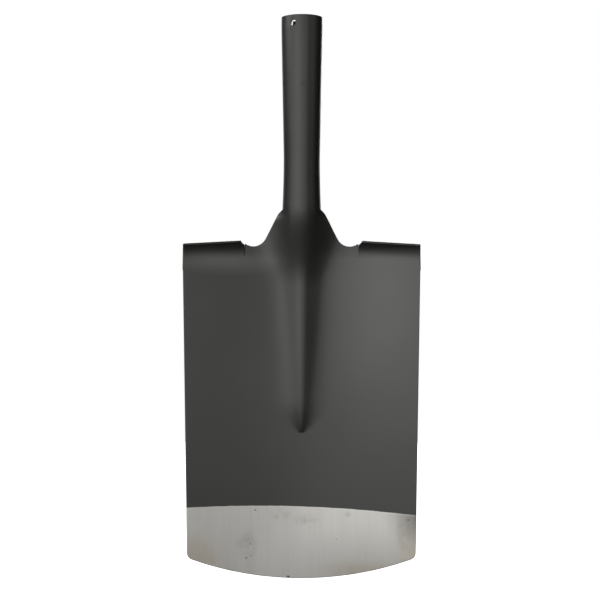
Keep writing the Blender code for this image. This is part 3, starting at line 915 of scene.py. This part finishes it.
def add_node(tree, kind, settings=None, links=None):
    """A node with its settings (attributes or input values) and what feeds its inputs."""
    node = tree.nodes.new(kind)
    for key, value in (settings or {}).items():
        if isinstance(key, str) and hasattr(node, key):
            setattr(node, key, value)
        else:
            node.inputs[key].default_value = value
    for key, socket in (links or {}).items():
        tree.links.new(socket, node.inputs[key])
    return node


def lay_enamel(tree):
    """Nodes of the enamel: its colour, roughness and height."""
    place = add_node(tree, "ShaderNodeTexCoord").outputs["Object"]
    cloud_size = {"Scale": 1000 / ENAMEL_CLOUD_MM, "Detail": 3.0}
    cloud = add_node(tree, "ShaderNodeTexNoise", cloud_size, {"Vector": place}).outputs["Fac"]
    tones = {"data_type": "RGBA", 6: linear(ENAMEL_TONES[0]), 7: linear(ENAMEL_TONES[1])}
    tone = add_node(tree, "ShaderNodeMix", tones, {0: cloud}).outputs[2]
    satin = {"To Min": 0.36, "To Max": 0.44}
    gloss = add_node(tree, "ShaderNodeMapRange", satin, {"Value": cloud}).outputs["Result"]
    peel_size = {"Scale": 1000 / ORANGE_PEEL_MM, "Detail": 2.0}
    peel = add_node(tree, "ShaderNodeTexNoise", peel_size, {"Vector": place}).outputs["Fac"]
    return tone, gloss, peel


def stoved_enamel(name, with_painted_sheen=False):
    """Black enamel, dipped and stoved: satin, near black, cloudy, with a fine orange peel.

    On the blade and its treads it has a painted sheen, a faint grey where light falls about the
    shoulders.
    """
    material = bpy.data.materials.new(name)
    material.use_nodes = True
    tree = material.node_tree
    shader = tree.nodes["Principled BSDF"]
    tone, gloss, peel = lay_enamel(tree)
    if with_painted_sheen:
        # Painted sheen: the coat is greyed lighter where light falls about the shoulders
        spot, _, v = blade_spot(tree)
        upper = {"From Min": PAINTED_SHEEN_START_V, "From Max": PAINTED_SHEEN_FULL_V}
        top = add_node(tree, "ShaderNodeMapRange", upper, {"Value": v}).outputs[0]
        held = {0: marks(tree, spot, PAINTED_SHEEN), 1: top}
        painted_sheen = add_node(tree, "ShaderNodeMath", {"operation": "MULTIPLY"}, held).outputs[0]
        lightened = {"data_type": "RGBA", 7: linear(PAINTED_SHEEN_TONE)}
        tone = add_node(tree, "ShaderNodeMix", lightened, {0: painted_sheen, 6: tone}).outputs[2]
    relief = {"Strength": 0.10, "Distance": 0.0001}
    bump = add_node(tree, "ShaderNodeBump", relief, {"Height": peel})
    tree.links.new(tone, shader.inputs["Base Color"])
    tree.links.new(gloss, shader.inputs["Roughness"])
    tree.links.new(bump.outputs["Normal"], shader.inputs["Normal"])
    return material


def patch(tree, spot, centre, reach, soft):
    """1 inside an oval patch on the blade at centre (u, v) in mm, fading to 0 at its border."""
    shift = {"operation": "ADD", 1: (-centre[0] / 1000, -centre[1] / 1000, 0.0)}
    moved = add_node(tree, "ShaderNodeVectorMath", shift, {0: spot})
    stretch = {"operation": "MULTIPLY", 1: (1000 / reach[0], 1000 / reach[1], 0.0)}
    unit = add_node(tree, "ShaderNodeVectorMath", stretch, {0: moved.outputs[0]})
    away = add_node(tree, "ShaderNodeVectorMath", {"operation": "LENGTH"}, {0: unit.outputs[0]})
    fade = {"From Min": 1.0, "From Max": 1.0 - soft, "interpolation_type": "SMOOTHSTEP"}
    return add_node(tree, "ShaderNodeMapRange", fade, {"Value": away.outputs["Value"]}).outputs[0]


def marks(tree, spot, ovals):
    """The strongest of several oval patches."""
    top, *others = [patch(tree, spot, *oval) for oval in ovals]
    for other in others:
        both = {0: top, 1: other}
        top = add_node(tree, "ShaderNodeMath", {"operation": "MAXIMUM"}, both).outputs[0]
    return top


def blade_spot(tree):
    """The shaded point in the blade's own (u, v), in metres."""
    place = add_node(tree, "ShaderNodeTexCoord").outputs["Object"]
    origin = {"operation": "ADD", 1: (0.0, -SET_BACK, -TREAD_LINE_Z)}
    moved = add_node(tree, "ShaderNodeVectorMath", origin, {0: place})
    down = {"operation": "DOT_PRODUCT", 1: (0.0, -math.sin(LIFT), -math.cos(LIFT))}
    v = add_node(tree, "ShaderNodeVectorMath", down, {0: moved.outputs[0]}).outputs["Value"]
    u = add_node(tree, "ShaderNodeSeparateXYZ", {}, {0: place}).outputs["X"]
    spot = add_node(tree, "ShaderNodeCombineXYZ", {}, {0: u, 1: v}).outputs[0]
    return spot, u, v


def below_paint(tree, spot, u, v):
    """How far the shaded point lies below the slightly ragged paint line, in metres."""
    bend = {"operation": "MULTIPLY_ADD", 1: PAINT_LINE_BEND, 2: PAINT_LINE_TILT}
    slope = add_node(tree, "ShaderNodeMath", bend, {0: u}).outputs[0]
    fall = {0: slope, 1: u}
    line = add_node(tree, "ShaderNodeMath", {"operation": "MULTIPLY_ADD", 2: PAINT_LINE_V}, fall)
    past = add_node(tree, "ShaderNodeMath", {"operation": "SUBTRACT"}, {0: v, 1: line.outputs[0]})
    rag_size = {"Scale": 1000 / PAINT_RAG_MM, "Detail": 2.0}
    rag = add_node(tree, "ShaderNodeTexNoise", rag_size, {"Vector": spot}).outputs["Fac"]
    amount = {"operation": "MULTIPLY_ADD", 1: PAINT_RAG}
    return add_node(tree, "ShaderNodeMath", amount, {0: rag, 2: past.outputs[0]}).outputs[0]


def streaks(tree, spot, size_mm, slant=0.0):
    """Noise drawn out down the blade: lines of this width and length."""
    width, length = size_mm
    laid = {"Rotation": (0.0, 0.0, slant), "Scale": (1000 / width, 1000 / length, 1.0)}
    drawn = add_node(tree, "ShaderNodeMapping", laid, {"Vector": spot})
    grain = {"Scale": 1.0, "Detail": 2.0}
    return add_node(tree, "ShaderNodeTexNoise", grain, {"Vector": drawn.outputs[0]}).outputs["Fac"]


def bare_steel(tree, spot, past, broad, fine):
    """Colour of the linished steel: its streaks, and layer by layer the marks that use left and
    painted shade.
    """
    bloom_size = {"Scale": 1000 / BLOOM_MM, "Detail": 5.0}
    bloom = add_node(tree, "ShaderNodeTexNoise", bloom_size, {"Vector": spot}).outputs["Fac"]
    mottle = {"From Min": 0.40, "From Max": 0.60}
    broken = add_node(tree, "ShaderNodeMapRange", mottle, {"Value": bloom}).outputs[0]
    rusty = {0: marks(tree, spot, RUST_BLOOM), 1: bloom}
    rust = add_node(tree, "ShaderNodeMath", {"operation": "MULTIPLY"}, rusty).outputs[0]
    patchy = {0: marks(tree, spot, SMUDGES_AND_EDGE_SHADE), 1: broken}
    smudge_and_shade = add_node(tree, "ShaderNodeMath", {"operation": "MULTIPLY"}, patchy).outputs[0]
    border = {"From Min": 0.0022, "From Max": 0.0004}
    pale = add_node(tree, "ShaderNodeMapRange", border, {"Value": past}).outputs[0]
    layers = [
        (fine, 0.5, GRINDING_TONE),
        (rust, 0.9, BLOOM_TONE),
        (smudge_and_shade, 0.32, SMUDGE_AND_SHADE_TONE),
        # Painted shade: darker low down, and towards the right side
        (marks(tree, spot, PAINTED_SHADE_LOW), 0.45, SMUDGE_AND_SHADE_TONE),
        (marks(tree, spot, PAINTED_SHADE_RIGHT), 1.0, PAINTED_SHADE_TONE),
        (pale, 0.3, BORDER_TONE),
        (marks(tree, spot, PITS_AND_NICK_SHADE), 0.85, PIT_AND_SHADE_TONE),
    ]
    tones = {"data_type": "RGBA", 6: linear(STEEL_TONES[0]), 7: linear(STEEL_TONES[1])}
    steel = add_node(tree, "ShaderNodeMix", tones, {0: broad}).outputs[2]
    for where, most, tone in layers:
        share = {"operation": "MULTIPLY", 1: most}
        amount = add_node(tree, "ShaderNodeMath", share, {0: where}).outputs[0]
        laid = {"data_type": "RGBA", 7: linear(tone)}
        steel = add_node(tree, "ShaderNodeMix", laid, {0: amount, 6: steel}).outputs[2]
    return steel


def blade_finish(name):
    """Stoved enamel down to the paint line, and bare carbon steel from the linisher below it.

    The steel is light grey and satin: fine grinding lines down the blade, broader burnished
    streaks, brown rust bloom towards the corners, smudges, a few rust pits, and a thin pale border
    along the enamel. Painted shade darkens it low down, towards its right side, in a thin line
    along the cutting edge and in a nick in that edge.
    """
    material = stoved_enamel(name, with_painted_sheen=True)
    tree = material.node_tree
    shader = tree.nodes["Principled BSDF"]
    spot, u, v = blade_spot(tree)
    past = below_paint(tree, spot, u, v)
    edge = {"From Min": 0.0002, "From Max": 0.0006}
    bare = add_node(tree, "ShaderNodeMapRange", edge, {"Value": past}).outputs[0]
    fine = streaks(tree, spot, GRINDING_LINE_MM)
    broad = streaks(tree, spot, BURNISHED_STREAK_MM, BURNISHED_SLANT)
    steel = bare_steel(tree, spot, past, broad, fine)
    tone, gloss = (shader.inputs[key].links[0].from_socket for key in ("Base Color", "Roughness"))
    coats = {0: bare, 6: tone, 7: steel}
    colour = add_node(tree, "ShaderNodeMix", {"data_type": "RGBA"}, coats).outputs[2]
    tree.links.new(colour, shader.inputs["Base Color"])
    tree.links.new(bare, shader.inputs["Metallic"])
    linished = {"To Min": 0.44, "To Max": 0.56}
    brushed = add_node(tree, "ShaderNodeMapRange", linished, {"Value": broad}).outputs[0]
    shines = {0: bare, 2: gloss, 3: brushed}
    rough = add_node(tree, "ShaderNodeMix", {"data_type": "FLOAT"}, shines)
    tree.links.new(rough.outputs[0], shader.inputs["Roughness"])
    bump = shader.inputs["Normal"].links[0].from_node
    peel = bump.inputs["Height"].links[0].from_socket
    height = add_node(tree, "ShaderNodeMix", {"data_type": "FLOAT"}, {0: bare, 2: peel, 3: fine})
    tree.links.new(height.outputs[0], bump.inputs["Height"])
    return material


# Socket, plate and neck: near black and satin, without the painted sheen
enamel = stoved_enamel("stoved_black_enamel")
# Treads: the same coat, with the blade's painted sheen, so that no border shows between them
enamel_on_treads = stoved_enamel("enamel_on_treads", with_painted_sheen=True)
# Weld beads: the same coat over ripples, which break its shine
enamel_on_weld = stoved_enamel("enamel_on_weld_bead")
# Blade: the dark coat with its painted sheen above, and a bright, worn band along the cutting edge
blade_surface = blade_finish("enamel_and_linished_steel")

make_blade(blade_surface)
make_socket(enamel)
make_back_plate(enamel)
make_seam_weld(enamel_on_weld)
make_neck_weld(enamel)
for side, word in ((-1.0, "left"), (1.0, "right")):
    make_tread(side, word, enamel_on_treads)
    make_tread_weld(side, word, enamel_on_treads)
    make_plate_weld(side, word, enamel_on_weld)


# Stage


def seen_directly(tree):
    """1 for what the camera sees, straight or in a reflection or through glass, else 0."""
    path = add_node(tree, "ShaderNodeLightPath")
    mirrored = {0: path.outputs["Is Camera Ray"], 1: path.outputs["Is Glossy Ray"]}
    either = add_node(tree, "ShaderNodeMath", {"operation": "ADD"}, mirrored)
    through = {0: either.outputs[0], 1: path.outputs["Is Transmission Ray"]}
    capped = {"operation": "ADD", "use_clamp": True}
    return add_node(tree, "ShaderNodeMath", capped, through).outputs[0]


def white_floor():
    """Matt pale card, which looks as white as the background but for the head's shadow."""
    material = bpy.data.materials.new("matt_white_card")
    material.use_nodes = True
    tree = material.node_tree
    tree.nodes.remove(tree.nodes["Principled BSDF"])
    card = add_node(tree, "ShaderNodeBsdfDiffuse", {"Color": linear("#e6e6e4")})
    glow = add_node(tree, "ShaderNodeEmission", {"Color": linear("#ffffff"), "Strength": 0.85})
    lit = add_node(tree, "ShaderNodeAddShader", {}, {0: card.outputs[0], 1: glow.outputs[0]})
    mixed = {"Fac": seen_directly(tree), 1: card.outputs[0], 2: lit.outputs[0]}
    mix = add_node(tree, "ShaderNodeMixShader", {}, mixed)
    tree.links.new(mix.outputs[0], tree.nodes["Material Output"].inputs["Surface"])
    return material


def studio_world():
    """Dim grey air that lights the head a little, and the white background that is seen."""
    world = bpy.data.worlds.new("studio")
    world.use_nodes = True
    tree = world.node_tree
    dim = tree.nodes["Background"]
    dim.inputs["Color"].default_value = linear("#262626")
    white = add_node(tree, "ShaderNodeBackground", {"Color": linear("#ffffff")})
    mixed = {"Fac": seen_directly(tree), 1: dim.outputs[0], 2: white.outputs[0]}
    mix = add_node(tree, "ShaderNodeMixShader", {}, mixed)
    tree.links.new(mix.outputs[0], tree.nodes["World Output"].inputs["Surface"])
    return world


def lay_floor():
    bpy.ops.object.select_all(action="DESELECT")
    place = (0.0, FLOOR_MIDDLE_Y, solid_box[0][2] - FLOOR_DROP)
    bpy.ops.mesh.primitive_plane_add(size=1.0, location=place)
    floor = bpy.context.object
    floor.name = "floor"
    floor.scale = (*FLOOR_SIZE, 1.0)
    floor.data.materials.append(white_floor())


def black_velvet():
    """Black flag cloth, so dark that what it is reflected in stays black."""
    velvet = bpy.data.materials.new("black_velvet")
    velvet.use_nodes = True
    tree = velvet.node_tree
    tree.nodes.remove(tree.nodes["Principled BSDF"])
    cloth = add_node(tree, "ShaderNodeBsdfDiffuse", {"Color": linear("#0a0a0a")})
    tree.links.new(cloth.outputs[0], tree.nodes["Material Output"].inputs["Surface"])
    return velvet


def black_flags():
    """Black studio flags round the set and on its floor, with a window behind the head.

    They are seen only in reflections, so satin black stays black and the white background is
    reflected from where it stands, behind the head.
    """
    bpy.ops.object.select_all(action="DESELECT")
    bpy.ops.mesh.primitive_uv_sphere_add(
        segments=72, ring_count=36, radius=FLAGS_RADIUS, location=LAMP_TARGET
    )
    dome = bpy.context.object
    dome.name = "black_flags"
    bpy.ops.object.mode_set(mode="EDIT")
    bpy.ops.mesh.select_all(action="DESELECT")
    bpy.ops.object.mode_set(mode="OBJECT")
    for face in dome.data.polygons:
        face.select = face.center.normalized().y > math.cos(WINDOW_HALF_ANGLE)
    bpy.ops.object.mode_set(mode="EDIT")
    bpy.ops.mesh.delete(type="FACE")
    bpy.ops.mesh.select_all(action="SELECT")
    bpy.ops.mesh.flip_normals()
    bpy.ops.object.mode_set(mode="OBJECT")
    for vertex in dome.data.vertices:
        vertex.co.z = max(vertex.co.z, solid_box[0][2] - LAMP_TARGET.z + FLOOR_DROP)
    dome.data.materials.append(black_velvet())
    dome.visible_camera = False
    dome.visible_diffuse = False
    dome.visible_shadow = False
    dome.visible_transmission = False


def soft_light(name, azimuth, elevation, size, power):
    """A softbox round the head; azimuth 0 is straight in front, positive to the right."""
    a, e = math.radians(azimuth), math.radians(elevation)
    out = Vector((math.sin(a) * math.cos(e), -math.cos(a) * math.cos(e), math.sin(e)))
    lamp = bpy.data.lights.new(name, "AREA")
    lamp.shape = "RECTANGLE"
    lamp.size, lamp.size_y = size
    lamp.energy = power
    holder = bpy.data.objects.new(name, lamp)
    bpy.context.scene.collection.objects.link(holder)
    holder.location = LAMP_TARGET + out * LAMP_DISTANCE
    holder.rotation_euler = (-out).to_track_quat("-Z", "Y").to_euler()
    holder.visible_camera = False


def set_camera():
    data = bpy.data.cameras.new("camera")
    data.lens = CAMERA_LENS
    data.sensor_width = CAMERA_SENSOR
    camera = bpy.data.objects.new("camera", data)
    bpy.context.scene.collection.objects.link(camera)
    level = math.cos(CAMERA_PITCH)
    ahead = Vector(
        (math.sin(CAMERA_YAW) * level, math.cos(CAMERA_YAW) * level, math.sin(CAMERA_PITCH))
    )
    right = ahead.cross(Vector((0.0, 0.0, 1.0))).normalized()
    up = right.cross(ahead)
    rolled_right = right * math.cos(CAMERA_ROLL) + up * math.sin(CAMERA_ROLL)
    rolled_up = up * math.cos(CAMERA_ROLL) - right * math.sin(CAMERA_ROLL)
    turn = Matrix((rolled_right, rolled_up, -ahead)).transposed().to_4x4()
    camera.matrix_world = Matrix.Translation(CAMERA_PLACE) @ turn
    bpy.context.scene.camera = camera


bpy.context.scene.world = studio_world()
lay_floor()
black_flags()
for softbox in SOFTBOXES:
    soft_light(*softbox)
set_camera()

bpy.context.scene.view_settings.view_transform = "Standard"
